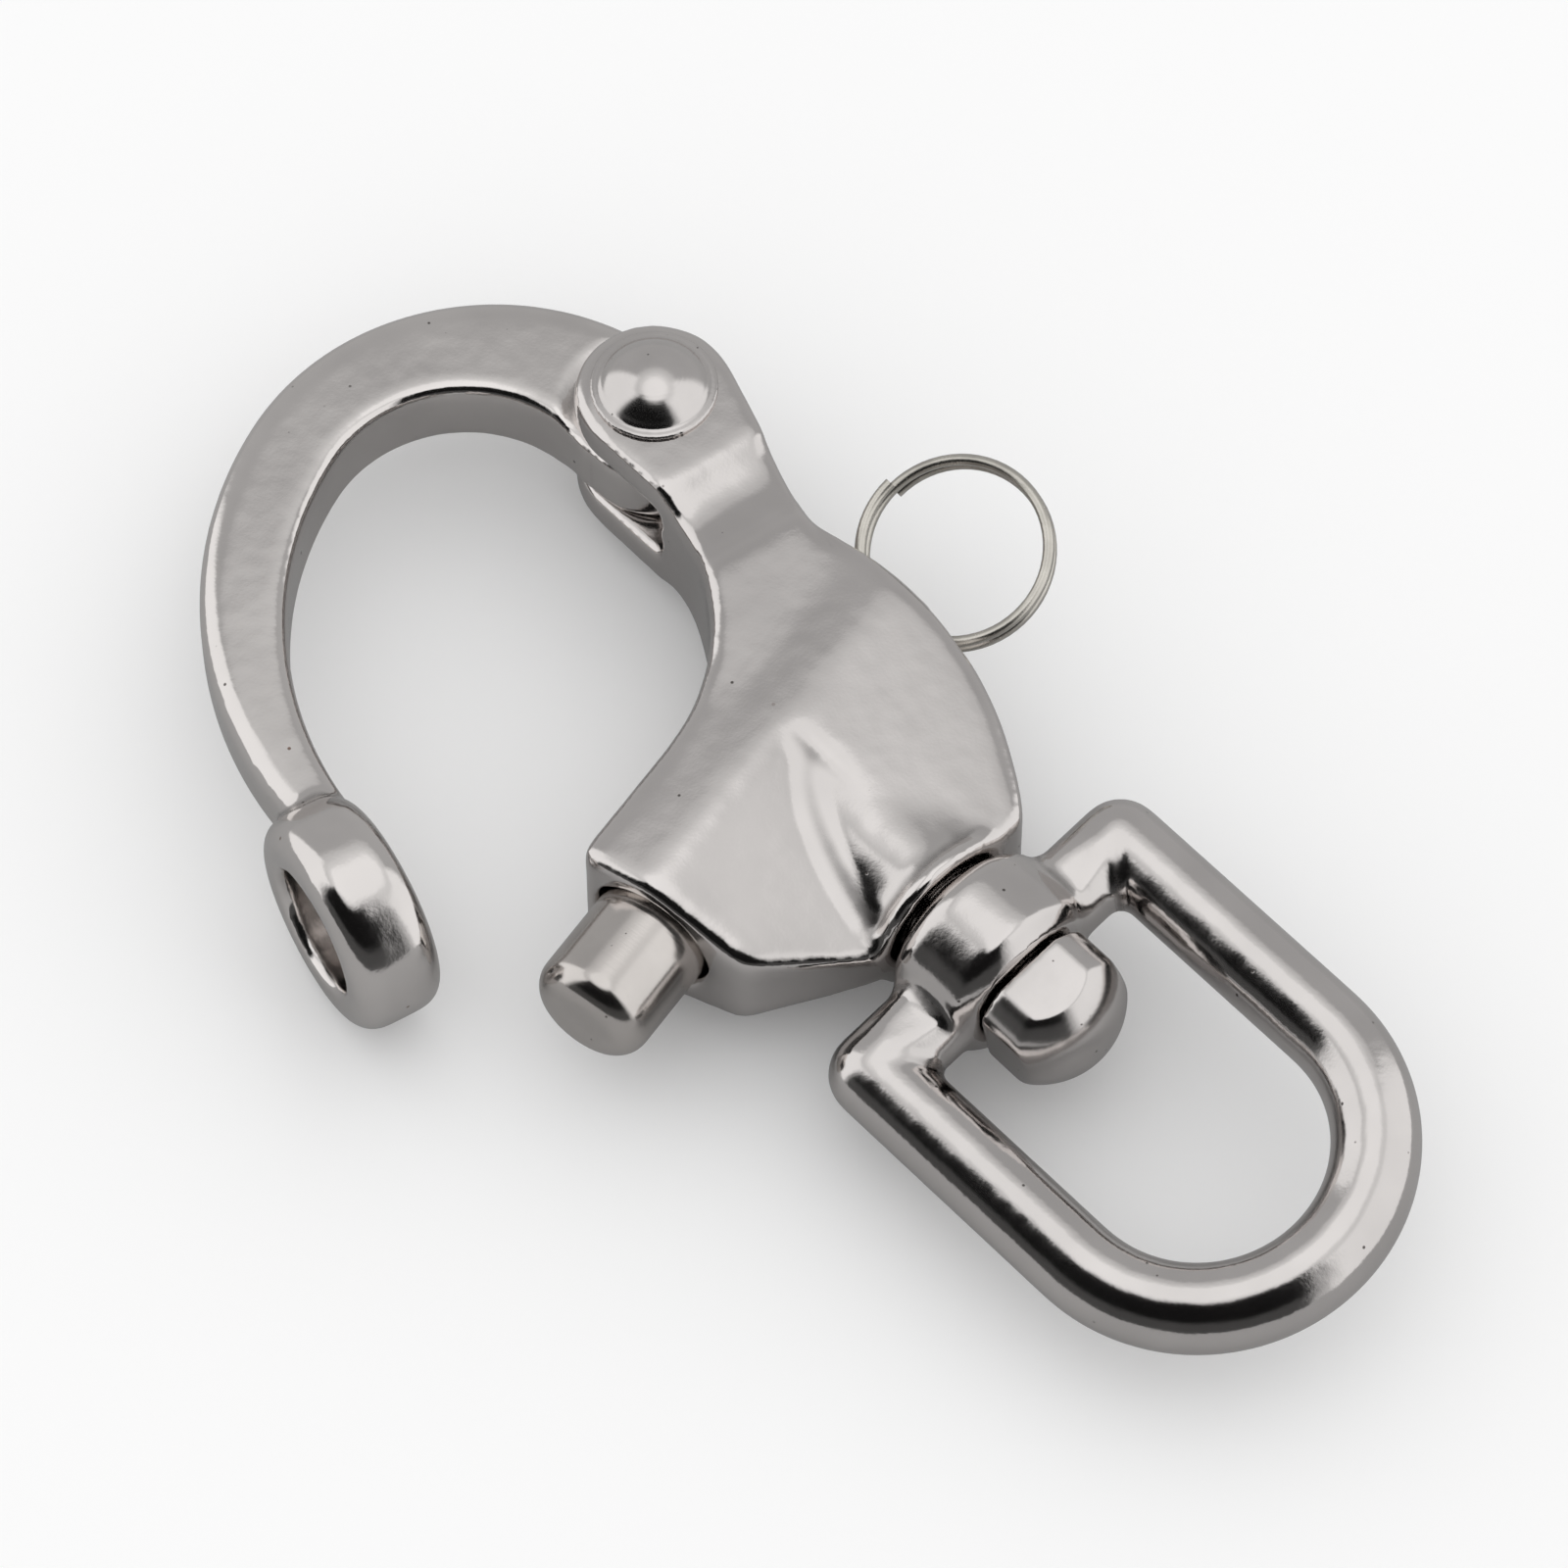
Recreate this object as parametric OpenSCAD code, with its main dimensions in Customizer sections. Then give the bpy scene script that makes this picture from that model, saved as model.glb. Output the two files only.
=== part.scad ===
// Swivel snap shackle in cast and polished stainless steel, drawn lying flat.
// The bow of the swivel bail is centred on the origin and the swivel axis is the X axis.
// The body lies towards -X, its casting is the same above and below the plane z = 0.

/* [Swivel bail] */
// Clear width inside the bail
bail_inner_w = 22.9; // [20:0.1:32]
// Diameter of the bail's round bar
bail_rod_d = 8.2; // [6:0.1:9.5]
// Straight reach from the bow's centre to the crossbar's inner face
bail_leg_l = 21.9; // [19:0.1:30]
// Thickness across the flats beside the collar
bail_flat_t = 6.2; // [5.5:0.1:7.6]
// Diameter of the swivel collar
collar_d = 17.6; // [15.5:0.1:20]
// Length of the swivel collar
collar_l = 10; // [8.6:0.1:14]
// Chamfer at the collar's two rims
collar_chamfer = 1.6; // [0.4:0.1:2]
// Angle that the bail is swivelled by as it lies
bail_turn = 9; // [-20:1:20]

/* [Swivel stud] */
// Diameter of the stud's shank
stud_d = 8; // [6:0.1:9]
// Diameter of the stud's head over its round corners
stud_head_d = 14.2; // [12.5:0.1:16]
// Width over the four flats of the head
stud_flat_w = 12.4; // [10.5:0.1:12.8]
// Length of the head
stud_head_l = 8.8; // [6:0.1:10]
// Depth of the shank in the body
stud_depth = 12; // [9:0.1:13]

/* [Body] */
// Thickness of the body over its ridge
body_t = 17.4; // [16:0.1:20]
// Distance from the base face to the point where plunger and swivel axes cross
plunger_back = 21.3; // [20.5:0.1:26]
// Angle between the plunger and the square across the swivel axis
plunger_slant = 12; // [4:1:14]
// Width of the plunger housing left of the plunger axis
housing_left = 7.8; // [7.6:0.1:9]
// Reach of the front face right of the plunger axis
housing_right = 10.5; // [9:0.1:12]
// Distance from the crossing point to the front face
housing_front = 22; // [20:0.1:26]
// Reach of the base face below the swivel axis
base_low = 8.8; // [8.7:0.1:12]
// Radius of the round back of the body
lobe_r = 37.6; // [33:0.1:42]
// Distance from the base face to the middle of the round back
lobe_back = 24.6; // [22:0.1:26]
// Distance from the crossing point to the top of the round back
lobe_rise = 18.4; // [16.6:0.1:20]
// Fall of the facet between the ridge and the lower corner, in degrees
facet_fall = 18; // [12:1:19]
// Fall of the flank between the ridge and the throat, in degrees
flank_fall = 7; // [4:1:10]
// Fall of the roof from the ridge to the round back
plateau_fall = 6; // [2:1:8]
// Diameter of the round boss over the stud
boss_d = 15; // [13.5:0.1:16]
// Diameter of the base flange
flange_d = 17.2; // [16:0.1:18.4]
// Thickness of the base flange
flange_t = 1.6; // [1:0.1:2.5]
// Radius of the throat
throat_r = 22.5; // [18:0.1:24]
// Radius of the cast outer edges
edge_r = 1.6; // [0.8:0.1:2.4]

/* [Fork and hinge] */
// Distance from the base face back to the hinge
hinge_back = 55.9; // [54:0.1:60]
// Distance from the swivel axis up to the hinge
hinge_side = 15.7; // [15:0.1:17.5]
// Radius of the fork's ears
ear_r = 7.5; // [7:0.1:9]
// Thickness over both ears
fork_t = 16; // [14:0.1:16.6]
// Fall of the neck's upper edge, in degrees
neck_fall = 19; // [16:1:21]
// Diameter of the rivet's shank
rivet_d = 6; // [4.5:0.1:7]
// Diameter of the rivet's domed heads
rivet_head_d = 10.2; // [9:0.1:11]
// Height of a domed head over its rim
rivet_head_h = 2.7; // [2:0.1:3.2]
// Diameter of the rim under a domed head
rivet_rim_d = 12; // [11.4:0.1:13.4]

/* [Jaw] */
// Thickness of the jaw
jaw_t = 8.2; // [7.6:0.1:9.4]
// Thickness of the jaw's tongue between the ears
tongue_t = 6.8; // [5.6:0.1:7.2]
// Angle that the jaw stands open by
jaw_open = 24.8; // [0:0.1:60]
// Distance of the jaw's crown along the line from hinge to eye
crown_along = 18; // [16:0.1:19]
// Height of the crown's outer edge over that line
crown_outer = 32.7; // [31:0.1:36]
// Height of the crown's inner edge over that line
crown_inner = 23.7; // [22:0.1:25]
// Outer radius between hinge and crown
bow_outer_r = 25.2; // [23:0.1:27]
// Inner radius between hinge and crown
bow_inner_r = 13.2; // [12:0.1:14]
// Distance from the eye's centre back to the arm's outer edge, on that line
arm_root_back = 2.2; // [1:0.1:4]
// Thickness of the arm on that line
arm_root_t = 4; // [3:0.1:6]
// Outside diameter of the eye
eye_d = 21.2; // [19:0.1:23]
// Length of the eye along its bore
eye_l = 8.6; // [8:0.1:10.5]

/* [Plunger] */
// Diameter of the plunger's nose
nose_d = 11.4; // [10:0.1:11.8]
// How far the nose stands out of the front face
nose_out = 10.6; // [10.2:0.1:13]
// Length of the nose inside the body
nose_in = 13.5; // [12:0.1:15]
// Radius of the nose's round end
nose_tip_r = 2.6; // [1.5:0.1:4]
// Diameter of the plunger's stem
stem_d = 4.8; // [4.2:0.1:5.4]
// Thickness of the wall that the stem runs through
rear_wall = 4.6; // [3.6:0.1:5]
// Diameter of the spring's wire
spring_wire_d = 1.2; // [0.8:0.1:1.4]

/* [Pull ring] */
// Outside diameter of the split ring
ring_d = 18.6; // [16:0.1:24]
// Diameter of the ring's wire
ring_wire_d = 1.1; // [0.8:0.1:1.2]
// Angle that the ring is lifted by out of the flat
ring_lift = 20; // [0:1:50]
// Angle that the ring leans by towards the swivel
ring_lean = 5; // [0:1:8]

/* [Hidden] */
$fn = 64;

// Clearances and the overrun of every cut
overrun = 1;
swivel_play = 0.4;
running_gap = 0.08;
fit_gap = 0.02;
slot_gap = 0.25;
bore_gap = 0.2;
eye_gap = 0.4;
cheek_gap = 0.8;
end_gap = 0.3;
ring_gap = 0.46;
turn_gap = 0.12;
tail_gap = 0.9;
slot_back_gap = 3.6;
tangent_gap = 0.04;

// Bail and swivel
rod_r = bail_rod_d / 2;
bow_r = bail_inner_w / 2 + rod_r;
crossbar_x = -bail_leg_l - rod_r;
flat_half = bow_r - rod_r / 2;
flat_depth = rod_r - bail_flat_t / 2;
flat_r = (pow(flat_half, 2) + pow(flat_depth, 2)) / (2 * flat_depth);
collar_x = -bail_leg_l - collar_l;
seat_x = collar_x - swivel_play;
head_x = -bail_leg_l + swivel_play;
stud_bore_d = stud_d + 2 * running_gap;
head_dome_share = 0.5;

// Plunger axis: crossing point, and lengths along it counted towards the tail
tail_seat_d = 21;
tail_seat_depth = 2.5;
tail_seat_t = 13;
tail_end = 1.2;
tail_edge_r = 0.9;
cross_x = seat_x - plunger_back;
front_v = -housing_front;
tip_v = front_v - nose_out;
shoulder_v = front_v + nose_in;
tail_wall_v = lobe_rise * cos(plunger_slant) - tail_seat_depth;
bore_end_v = tail_wall_v - rear_wall;
bore_d = nose_d + 2 * bore_gap;
ring_pitch = ring_wire_d + turn_gap;
ring_hole_d = ring_pitch + ring_wire_d + 2 * ring_gap;
ring_hole_v = tail_wall_v + ring_hole_d / 2 + tail_gap;
tail_v = ring_hole_v + ring_hole_d / 2 + tail_end;

// Body outline: places in the plane
hinge_x = seat_x - hinge_back;
half_t = body_t / 2;
fork_slot_t = tongue_t + 2 * slot_gap;
neck_r = ear_r - tangent_gap;
neck_low = hinge_side - neck_r;
neck_top_x = hinge_x + neck_r * sin(neck_fall);
neck_top_y = hinge_side + neck_r * cos(neck_fall);
neck_run = hinge_back - plunger_back;
neck_end_x = neck_top_x + neck_run * cos(neck_fall);
neck_end_y = neck_top_y - neck_run * sin(neck_fall);
lobe_x = seat_x - lobe_back;
lobe_y = lobe_rise - lobe_r;
corner_r = 3;
shoulder_run = 17.6;
lobe_left_x = neck_top_x + shoulder_run * cos(neck_fall);

// Neck: two ridges with a hollow between them, counted from the hinge
pad_run = 9.6;
hollow_w = 9;
hollow_depth = 1.3;
hollow_r = (pow(hollow_w / 2, 2) + pow(hollow_depth, 2)) / (2 * hollow_depth);
slot_back_r = ear_r + slot_back_gap;

// Jaw in its own frame: hinge at zero, eye on the +X axis
closed_v = front_v - eye_gap - eye_l / 2;
closed_x = cross_x - closed_v * sin(plunger_slant);
closed_y = closed_v * cos(plunger_slant);
eye_reach = norm([closed_x - hinge_x, closed_y - hinge_side]);
eye_line = atan2(closed_y - hinge_side, closed_x - hinge_x);
eye_turn = 90 - plunger_slant + eye_line;
eye_bore_d = nose_d + 2 * eye_gap;
eye_edge_r = 2.4;
knuckle_r = ear_r - slot_gap;
arm_end_x = eye_reach - arm_root_back;
arm_outer_r = (pow(arm_end_x - crown_along, 2) + pow(crown_outer, 2)) / (2 * crown_outer);
arm_inner_r = (pow(arm_end_x - arm_root_t - crown_along, 2) + pow(crown_inner, 2)) / (2 * crown_inner);
jaw_edge_r = 1.9;
bow_low = 3.8;
relief_r = 3;
relief_out = housing_left + cheek_gap - relief_r;
rivet_bore_d = rivet_d + 2 * running_gap;
rivet_rim_h = 0.5;
rivet_edge_r = rivet_rim_h / 2;

// Ring and spring
ring_r = ring_d / 2 - ring_wire_d / 2;
ring_turns = 2;
ring_start = 170;
ring_pass_share = (270 - ring_start) / 360 + 1 / 2;
spring_r = (bore_d - spring_wire_d) / 2 - bore_gap;
spring_turns = 6;
spring_l = bore_end_v - shoulder_v - 2 * end_gap;
coil_steps = 24;
coil_sides = 8;

// Frames: children are drawn along the plunger axis, in the jaw's frame or on the swivel axis
module on_plunger() {
    translate([cross_x, 0, 0]) rotate([0, 0, plunger_slant]) children();
}

module along_x() {
    rotate([0, 90, 0]) children();
}

module both_sides() {
    children();
    mirror([0, 0, 1]) children();
}

// Outline tools
// The web between a corner and a tangent circle: it fills an inner corner or rounds an outer one.
module corner_web(p, dir_1, dir_2, r) {
    half = (dir_2 - dir_1) / 2;
    reach = r / tan(half);
    deep = r / sin(half);
    mid = [cos((dir_1 + dir_2) / 2), sin((dir_1 + dir_2) / 2)];
    end_1 = p + reach * [cos(dir_1), sin(dir_1)];
    end_2 = p + reach * [cos(dir_2), sin(dir_2)];
    past = overrun * mid;
    difference() {
        polygon([p - past, end_1 - past, end_1, end_2, end_2 - past]);
        translate(p + deep * mid) circle(r = r + tangent_gap);
    }
}

// A disc of full thickness t with both rims rounded
module round_disc(r, t, edge) {
    rotate_extrude($fn = 128) difference() {
        translate([0, -t / 2]) square([r, t]);
        for (side = [1, -1]) translate([r - edge, side * (t / 2 - edge)]) rotate(side * 45 - 45) difference() {
            square(edge + overrun);
            circle(r = edge);
        }
    }
}

// A cutter that leaves a round hole with both rims rounded in a plate of thickness t
module round_hole(r, t, edge) {
    rotate_extrude($fn = 128) union() {
        translate([0, -t / 2 - overrun]) square([r, t + 2 * overrun]);
        for (side = [0, 1]) mirror([0, side]) difference() {
            translate([0, t / 2 - edge]) square([r + edge, edge + overrun]);
            translate([r + edge, t / 2 - edge]) circle(r = edge);
        }
    }
}

// A wire wound about the Z axis, with flat ends, starting at z = 0
module wire_coil(r, wire_d, turns, rise) {
    steps = turns * coil_steps;
    points = [for (i = [0:steps], k = [0:coil_sides - 1])
        let (a = 360 * i / coil_steps, b = 360 * k / coil_sides, q = r + wire_d / 2 * cos(b))
        [q * cos(a), q * sin(a), rise * i / steps + wire_d / 2 * sin(b)]];
    skin = [for (i = [0:steps - 1], k = [0:coil_sides - 1])
        let (n = (k + 1) % coil_sides, row = i * coil_sides)
        [row + k, row + n, row + n + coil_sides, row + k + coil_sides]];
    first = [[for (k = [coil_sides - 1:-1:0]) k]];
    last = [[for (k = [0:coil_sides - 1]) steps * coil_sides + k]];
    polyhedron(points, concat(skin, first, last));
}

// Body
front_left = [cross_x - housing_left * cos(plunger_slant) - front_v * sin(plunger_slant),
    front_v * cos(plunger_slant) - housing_left * sin(plunger_slant)];
front_right = [cross_x + housing_right * cos(plunger_slant) - front_v * sin(plunger_slant),
    front_v * cos(plunger_slant) + housing_right * sin(plunger_slant)];
base_corner = [seat_x, -base_low];
throat_corner = [cross_x - housing_left / cos(plunger_slant) - neck_low * tan(plunger_slant), neck_low];
chamfer_dir = atan2(base_corner[1] - front_right[1], base_corner[0] - front_right[0]);

module block_plan() {
    difference() {
        polygon([front_left, front_right, base_corner, [seat_x, lobe_rise],
            [lobe_left_x, lobe_rise], [lobe_left_x, hinge_side], throat_corner]);
        corner_web(front_right, chamfer_dir, plunger_slant + 180, corner_r);
        corner_web(front_left, plunger_slant, plunger_slant + 90, corner_r / 2);
    }
}

module neck_plan() {
    polygon([[hinge_x, neck_low], [hinge_x, hinge_side], [neck_top_x, neck_top_y],
        [neck_end_x, neck_end_y], throat_corner]);
    corner_web(throat_corner, 180, 270 + plunger_slant, throat_r);
}

// The roof over the housing falls from its ridge to the throat and to the round back.
module roof() {
    far = 2 * housing_left;
    low = half_t - far * tan(flank_fall);
    side = half_t - lobe_r * tan(plateau_fall);
    on_plunger() rotate([90, 0, 0]) linear_extrude(2 * lobe_r, center = true)
        polygon([[-far, -low], [-far, low], [0, half_t], [lobe_r, side], [lobe_r, -side], [0, -half_t]]);
}

// What lies above the facet between the ridge and the lower corner
module facet_cut() {
    far = lobe_r + housing_front;
    intersection() {
        on_plunger() translate([-tangent_gap, -far, half_t]) rotate([0, facet_fall, 0])
            cube([far, 2 * far, half_t]);
        translate([cross_x - far, -far, 0]) cube([2 * far, far, body_t]);
    }
}

module body_block() {
    difference() {
        intersection() {
            linear_extrude(body_t, center = true) block_plan();
            translate([lobe_x, lobe_y, 0]) round_disc(lobe_r, body_t, edge_r);
            roof();
        }
        both_sides() facet_cut();
    }
}

module neck() {
    hollow_at = pad_run + hollow_w / 2;
    difference() {
        union() {
            linear_extrude(fork_t, center = true) neck_plan();
            translate([hinge_x, hinge_side, 0]) round_disc(ear_r, fork_t, edge_r / 2);
        }
        both_sides() translate([hinge_x, hinge_side, fork_t / 2 - hollow_depth + hollow_r])
            rotate([0, 0, -neck_fall / 2]) translate([hollow_at, 0, 0])
                rotate([90, 0, 0]) cylinder(r = hollow_r, h = hinge_back, center = true);
    }
}

module body() {
    color("#b9b7b2") difference() {
        union() {
            body_block();
            neck();
            translate([cross_x, 0, 0]) along_x() cylinder(d = boss_d, h = plunger_back);
            translate([seat_x - flange_t, 0, 0]) along_x() cylinder(d = flange_d, h = flange_t);
        }
        // Fork slot with a round back
        translate([hinge_x, hinge_side, 0]) cylinder(r = slot_back_r, h = fork_slot_t, center = true);
        // Rivet, plunger and stud bores
        translate([hinge_x, hinge_side, 0]) cylinder(d = rivet_d + 2 * fit_gap, h = 2 * fork_t, center = true);
        on_plunger() translate([0, bore_end_v, 0]) rotate([90, 0, 0])
            cylinder(d = bore_d, h = bore_end_v - front_v + overrun);
        on_plunger() translate([0, tail_v, 0]) rotate([90, 0, 0])
            cylinder(d = stem_d + 2 * running_gap, h = tail_v);
        // Recess in the round back, where the pull ring swings
        on_plunger() translate([0, tail_wall_v + housing_front, 0]) rotate([90, 0, 0])
            linear_extrude(housing_front) intersection() {
                circle(d = tail_seat_d);
                square([tail_seat_d, tail_seat_t], center = true);
            }
        translate([seat_x - stud_depth, 0, 0]) along_x()
            cylinder(d = stud_d + 2 * fit_gap, h = stud_depth + overrun);
    }
}

// Jaw
module half_plate(low_x, high_x, low_y, high_y) {
    translate([low_x, low_y, -jaw_t]) cube([high_x - low_x, high_y - low_y, 2 * jaw_t]);
}

// The crescent between two circles whose highest points lie at the crown
module crescent(outer_r, inner_r) {
    difference() {
        translate([crown_along, crown_outer - outer_r, 0]) round_disc(outer_r, jaw_t, jaw_edge_r);
        translate([crown_along, crown_inner - inner_r, 0]) round_hole(inner_r, jaw_t, jaw_edge_r / 2);
    }
}

module eye_frame() {
    translate([eye_reach, 0, 0]) rotate([0, 0, eye_turn]) children();
}

module eye_ring() {
    eye_frame() along_x() round_disc(eye_d / 2, eye_l, eye_edge_r);
}

// Relief beside the eye, which clears the corner of the plunger housing when the jaw is shut
module eye_relief() {
    eye_frame() mirror([1, 0, 0]) translate([eye_l / 2, 0, -jaw_t]) {
        cube([eye_d, relief_out, 2 * jaw_t]);
        translate([relief_r, 0, 0]) cube([eye_d, relief_out + relief_r, 2 * jaw_t]);
        translate([relief_r, relief_out, 0]) cylinder(r = relief_r, h = 2 * jaw_t);
    }
}

module jaw_shape() {
    intersection() {
        crescent(bow_outer_r, bow_inner_r);
        half_plate(-ear_r, crown_along, bow_low, crown_outer + overrun);
    }
    intersection() {
        crescent(arm_outer_r, arm_inner_r);
        half_plate(crown_along, eye_reach + eye_d, -eye_d, crown_outer + overrun);
        eye_frame() translate([-arm_outer_r, 0, -jaw_t]) cube([2 * arm_outer_r, 2 * arm_outer_r, 2 * jaw_t]);
    }
    cylinder(r = knuckle_r, h = tongue_t, center = true);
    eye_ring();
}

module jaw() {
    color("#b4b2ad") translate([hinge_x, hinge_side, 0]) rotate([0, 0, eye_line - jaw_open]) mirror([0, 1, 0])
        difference() {
            jaw_shape();
            both_sides() translate([0, 0, tongue_t / 2]) cylinder(r = ear_r + cheek_gap, h = jaw_t);
            eye_relief();
            cylinder(d = rivet_bore_d, h = 2 * jaw_t, center = true);
            eye_frame() along_x() cylinder(d = eye_bore_d, h = 2 * eye_d, center = true);
        }
}

// Hinge rivet: a shank with a rim and a dome at each end
module rivet_head() {
    dome_r = (pow(rivet_head_d / 2, 2) + pow(rivet_head_h, 2)) / (2 * rivet_head_h);
    translate([0, 0, fork_t / 2]) {
        round_rim();
        intersection() {
            translate([0, 0, rivet_rim_h + rivet_head_h - dome_r]) sphere(r = dome_r, $fn = 96);
            cylinder(d = rivet_head_d, h = rivet_rim_h + rivet_head_h);
        }
    }
}

module round_rim() {
    rotate_extrude($fn = 96) {
        square([rivet_rim_d / 2 - rivet_edge_r, rivet_rim_h]);
        translate([rivet_rim_d / 2 - rivet_edge_r, rivet_edge_r]) circle(r = rivet_edge_r);
    }
}

module hinge_rivet() {
    color("#c4c2bd") translate([hinge_x, hinge_side, 0]) {
        cylinder(d = rivet_d, h = fork_t, center = true);
        both_sides() rivet_head();
    }
}

// Plunger: nose, stem and the cross hole for the ring, turned about its own axis
module plunger_profile() {
    square_l = shoulder_v - tip_v;
    difference() {
        translate([0, tip_v]) square([nose_d / 2, square_l]);
        translate([nose_d / 2 - nose_tip_r, tip_v + nose_tip_r]) rotate(-90) difference() {
            square(nose_tip_r + overrun);
            circle(r = nose_tip_r);
        }
    }
    translate([0, shoulder_v]) square([stem_d / 2, tail_v - tail_edge_r - shoulder_v]);
    translate([0, tail_v - tail_edge_r]) square([stem_d / 2 - tail_edge_r, tail_edge_r]);
    translate([stem_d / 2 - tail_edge_r, tail_v - tail_edge_r]) intersection() {
        circle(r = tail_edge_r);
        square(tail_edge_r);
    }
}

module plunger() {
    color("#a8a49c") on_plunger() difference() {
        rotate([-90, 0, 0]) rotate_extrude($fn = 96) plunger_profile();
        translate([0, ring_hole_v, 0]) along_x() cylinder(d = ring_hole_d, h = 2 * stem_d, center = true);
    }
}

module plunger_spring() {
    color("#8f8d88") on_plunger() translate([0, shoulder_v + end_gap + spring_wire_d / 2, 0])
        rotate([-90, 0, 0]) wire_coil(spring_r, spring_wire_d, spring_turns, spring_l - spring_wire_d);
}

module pull_ring() {
    color("#c0b8a8") on_plunger() translate([0, ring_hole_v, 0]) rotate([ring_lift, 0, 0])
        rotate([0, 0, -ring_lean]) translate([0, ring_r, -ring_pass_share * ring_pitch])
            rotate([0, 0, ring_start]) wire_coil(ring_r, ring_wire_d, ring_turns, ring_turns * ring_pitch);
}

// Bail: a bent bar with a crossbar that carries the collar
module collar() {
    translate([collar_x, 0, 0]) along_x() rotate_extrude($fn = 96)
        polygon([[0, 0], [collar_d / 2 - collar_chamfer, 0], [collar_d / 2, collar_chamfer],
            [collar_d / 2, collar_l - collar_chamfer], [collar_d / 2 - collar_chamfer, collar_l], [0, collar_l]]);
}

module bail_bar() {
    rotate([0, 0, -90]) rotate_extrude(angle = 180, $fn = 96) translate([bow_r, 0]) circle(r = rod_r);
    for (side = [1, -1]) translate([crossbar_x, side * bow_r, 0]) {
        along_x() cylinder(r = rod_r, h = -crossbar_x);
        sphere(r = rod_r);
    }
    translate([crossbar_x, 0, 0]) rotate([90, 0, 0]) cylinder(r = rod_r, h = 2 * bow_r, center = true);
}

module swivel_bail() {
    color("#aeaba5") rotate([bail_turn, 0, 0]) difference() {
        union() {
            difference() {
                bail_bar();
                both_sides() translate([crossbar_x, 0, bail_flat_t / 2 + flat_r])
                    along_x() cylinder(r = flat_r, h = 2 * rod_r, center = true);
            }
            collar();
        }
        translate([collar_x - overrun, 0, 0]) along_x() cylinder(d = stud_bore_d, h = collar_l + 2 * overrun);
    }
}

// Stud: shank from the body through the collar, and a domed head with four flats
module stud_head() {
    dome_h = stud_head_l * head_dome_share;
    dome_r = (pow(stud_head_d / 2, 2) + pow(dome_h, 2)) / (2 * dome_h);
    intersection() {
        cylinder(d = stud_head_d, h = stud_head_l);
        translate([0, 0, stud_head_l - dome_r]) sphere(r = dome_r, $fn = 96);
        translate([-stud_flat_w / 2, -stud_flat_w / 2, 0]) cube([stud_flat_w, stud_flat_w, stud_head_l]);
    }
}

module swivel_stud() {
    color("#a9a6a0") rotate([bail_turn, 0, 0]) {
        translate([seat_x - stud_depth, 0, 0]) along_x() cylinder(d = stud_d, h = head_x - seat_x + stud_depth);
        translate([head_x, 0, 0]) along_x() stud_head();
    }
}

body();
jaw();
hinge_rivet();
plunger();
plunger_spring();
pull_ring();
swivel_bail();
swivel_stud();
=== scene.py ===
# %% [markdown]
# # A swivel snap shackle in stainless steel
# A hinged jaw closes on a slanted spring plunger, and a D-shaped bail swivels on a headed stud.
# The construction model is loaded first, as a fixed frame in metres. Everything made below is laid
# over it, so no piece needs fitting by eye: the frame already says where each one sits.

# %% Load the frame
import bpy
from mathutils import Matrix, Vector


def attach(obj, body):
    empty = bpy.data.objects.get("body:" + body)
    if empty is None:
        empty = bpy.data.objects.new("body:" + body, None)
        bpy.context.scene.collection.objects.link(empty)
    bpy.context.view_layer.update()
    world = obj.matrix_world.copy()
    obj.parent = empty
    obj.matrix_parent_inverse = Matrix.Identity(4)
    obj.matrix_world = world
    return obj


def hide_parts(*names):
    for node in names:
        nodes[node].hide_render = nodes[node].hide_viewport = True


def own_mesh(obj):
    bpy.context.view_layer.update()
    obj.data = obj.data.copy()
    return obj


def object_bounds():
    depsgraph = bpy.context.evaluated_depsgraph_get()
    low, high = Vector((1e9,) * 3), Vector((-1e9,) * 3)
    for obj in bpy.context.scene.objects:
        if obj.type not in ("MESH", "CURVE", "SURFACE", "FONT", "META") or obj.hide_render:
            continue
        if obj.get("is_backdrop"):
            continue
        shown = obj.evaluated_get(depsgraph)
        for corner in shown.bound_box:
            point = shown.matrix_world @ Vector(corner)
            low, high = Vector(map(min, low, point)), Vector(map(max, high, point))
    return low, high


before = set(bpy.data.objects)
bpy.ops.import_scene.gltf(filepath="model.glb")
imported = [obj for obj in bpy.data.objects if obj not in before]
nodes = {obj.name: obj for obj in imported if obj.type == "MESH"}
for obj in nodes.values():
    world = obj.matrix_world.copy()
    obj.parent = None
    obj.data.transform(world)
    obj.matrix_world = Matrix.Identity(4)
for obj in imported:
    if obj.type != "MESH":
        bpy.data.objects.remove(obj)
solid_box = [list(corner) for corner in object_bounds()]

import bpy
import numpy as np
from math import cos, pi, radians, sin
from mathutils import Matrix, Vector

scene = bpy.context.scene
print("nodes:", sorted(nodes))

# %% [markdown]
# ## Camera
# The shackle lies flat and is seen from above its bail. A long lens far away keeps parallel edges
# nearly parallel, as in a catalogue photograph. The angles were found by matching the straight
# swivel axis, the round hinge and the outline, so they are written as angles, not as a matrix.

# %% Camera
VIEW_TURN = radians(-43.24)
VIEW_TILT = radians(59.5)
VIEW_AIM = Vector((-0.0524, -0.0015, 0.0))
VIEW_DISTANCE = 0.780
LENS_MM = 197.0
SENSOR_MM = 36.0

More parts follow.
